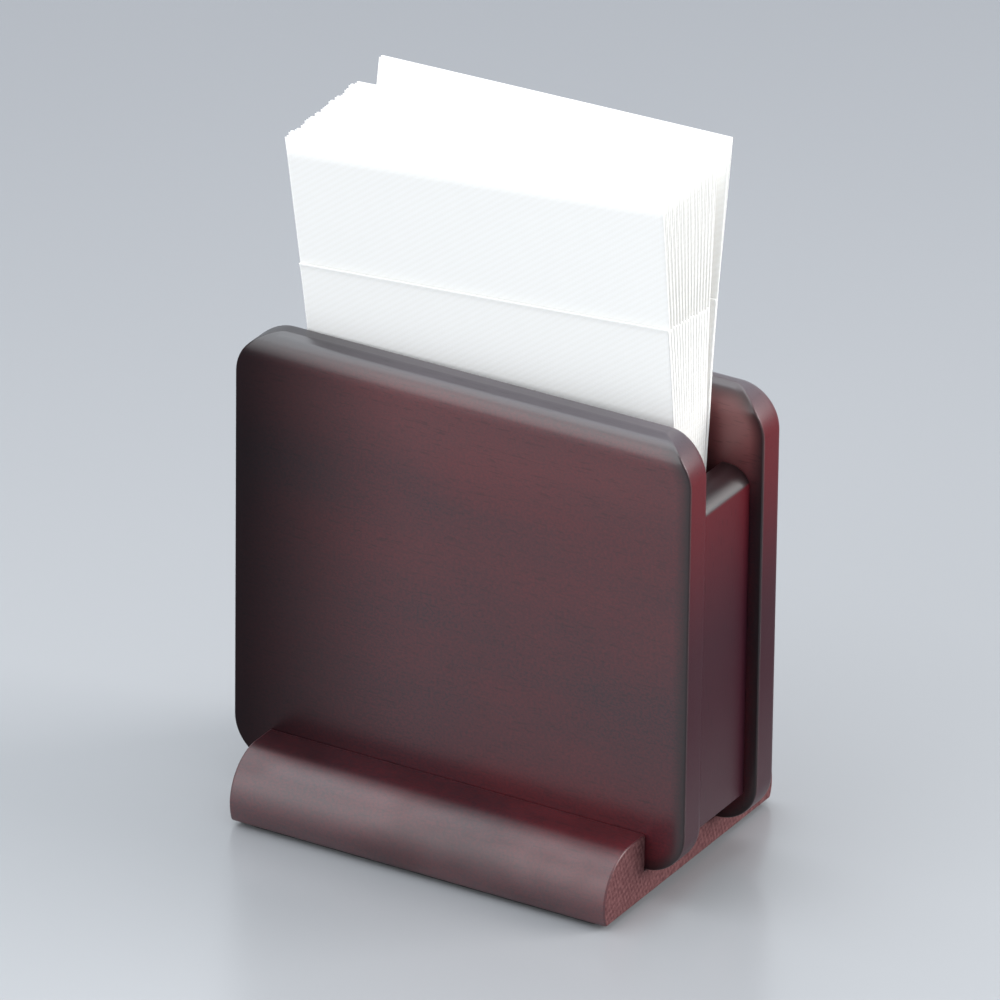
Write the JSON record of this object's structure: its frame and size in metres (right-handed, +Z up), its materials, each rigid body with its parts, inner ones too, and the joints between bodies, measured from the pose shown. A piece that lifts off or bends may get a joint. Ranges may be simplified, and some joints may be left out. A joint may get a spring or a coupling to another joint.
{
  "type": "napkin holder",
  "caption": "Upright wooden napkin holder: two rounded panels stand in a lipped base, held apart by end spacers, with a fanned stack of folded paper napkins in the slot",
  "frame": {"origin": "on the table, under the middle of the base", "axes": "+X to the right along the holder, +Y from the front to the back, +Z up"},
  "size_m": [0.105, 0.0664, 0.1512],
  "materials": {
    "stained_wood": "dark red-brown stain under semi-gloss lacquer",
    "pad_foam": "thin non-slip rubber",
    "screw_steel": "zinc plated",
    "napkin_paper": "embossed white tissue"
  },
  "bodies": {
    "holder": {"base": "stained_wood", "base_pad": "pad_foam", "front_panel": "stained_wood", "rear_panel": "stained_wood", "left_spacer": "stained_wood", "right_spacer": "stained_wood", "base_screws": "screw_steel"},
    "napkin_stack": {"napkin_01": "napkin_paper", "napkin_02": "napkin_paper", "napkin_03": "napkin_paper", "napkin_04": "napkin_paper", "napkin_05": "napkin_paper", "napkin_06": "napkin_paper", "napkin_07": "napkin_paper", "napkin_08": "napkin_paper", "napkin_09": "napkin_paper", "napkin_10": "napkin_paper", "napkin_11": "napkin_paper", "napkin_12": "napkin_paper", "napkin_13": "napkin_paper", "napkin_14": "napkin_paper", "napkin_15": "napkin_paper", "napkin_16": "napkin_paper"}
  },
  "joints": [
    {"name": "napkins_lift", "type": "slide", "parent": "holder", "child": "napkin_stack", "axis": [0, 0, 1], "range_m": [0, 0.11]}
  ]
}
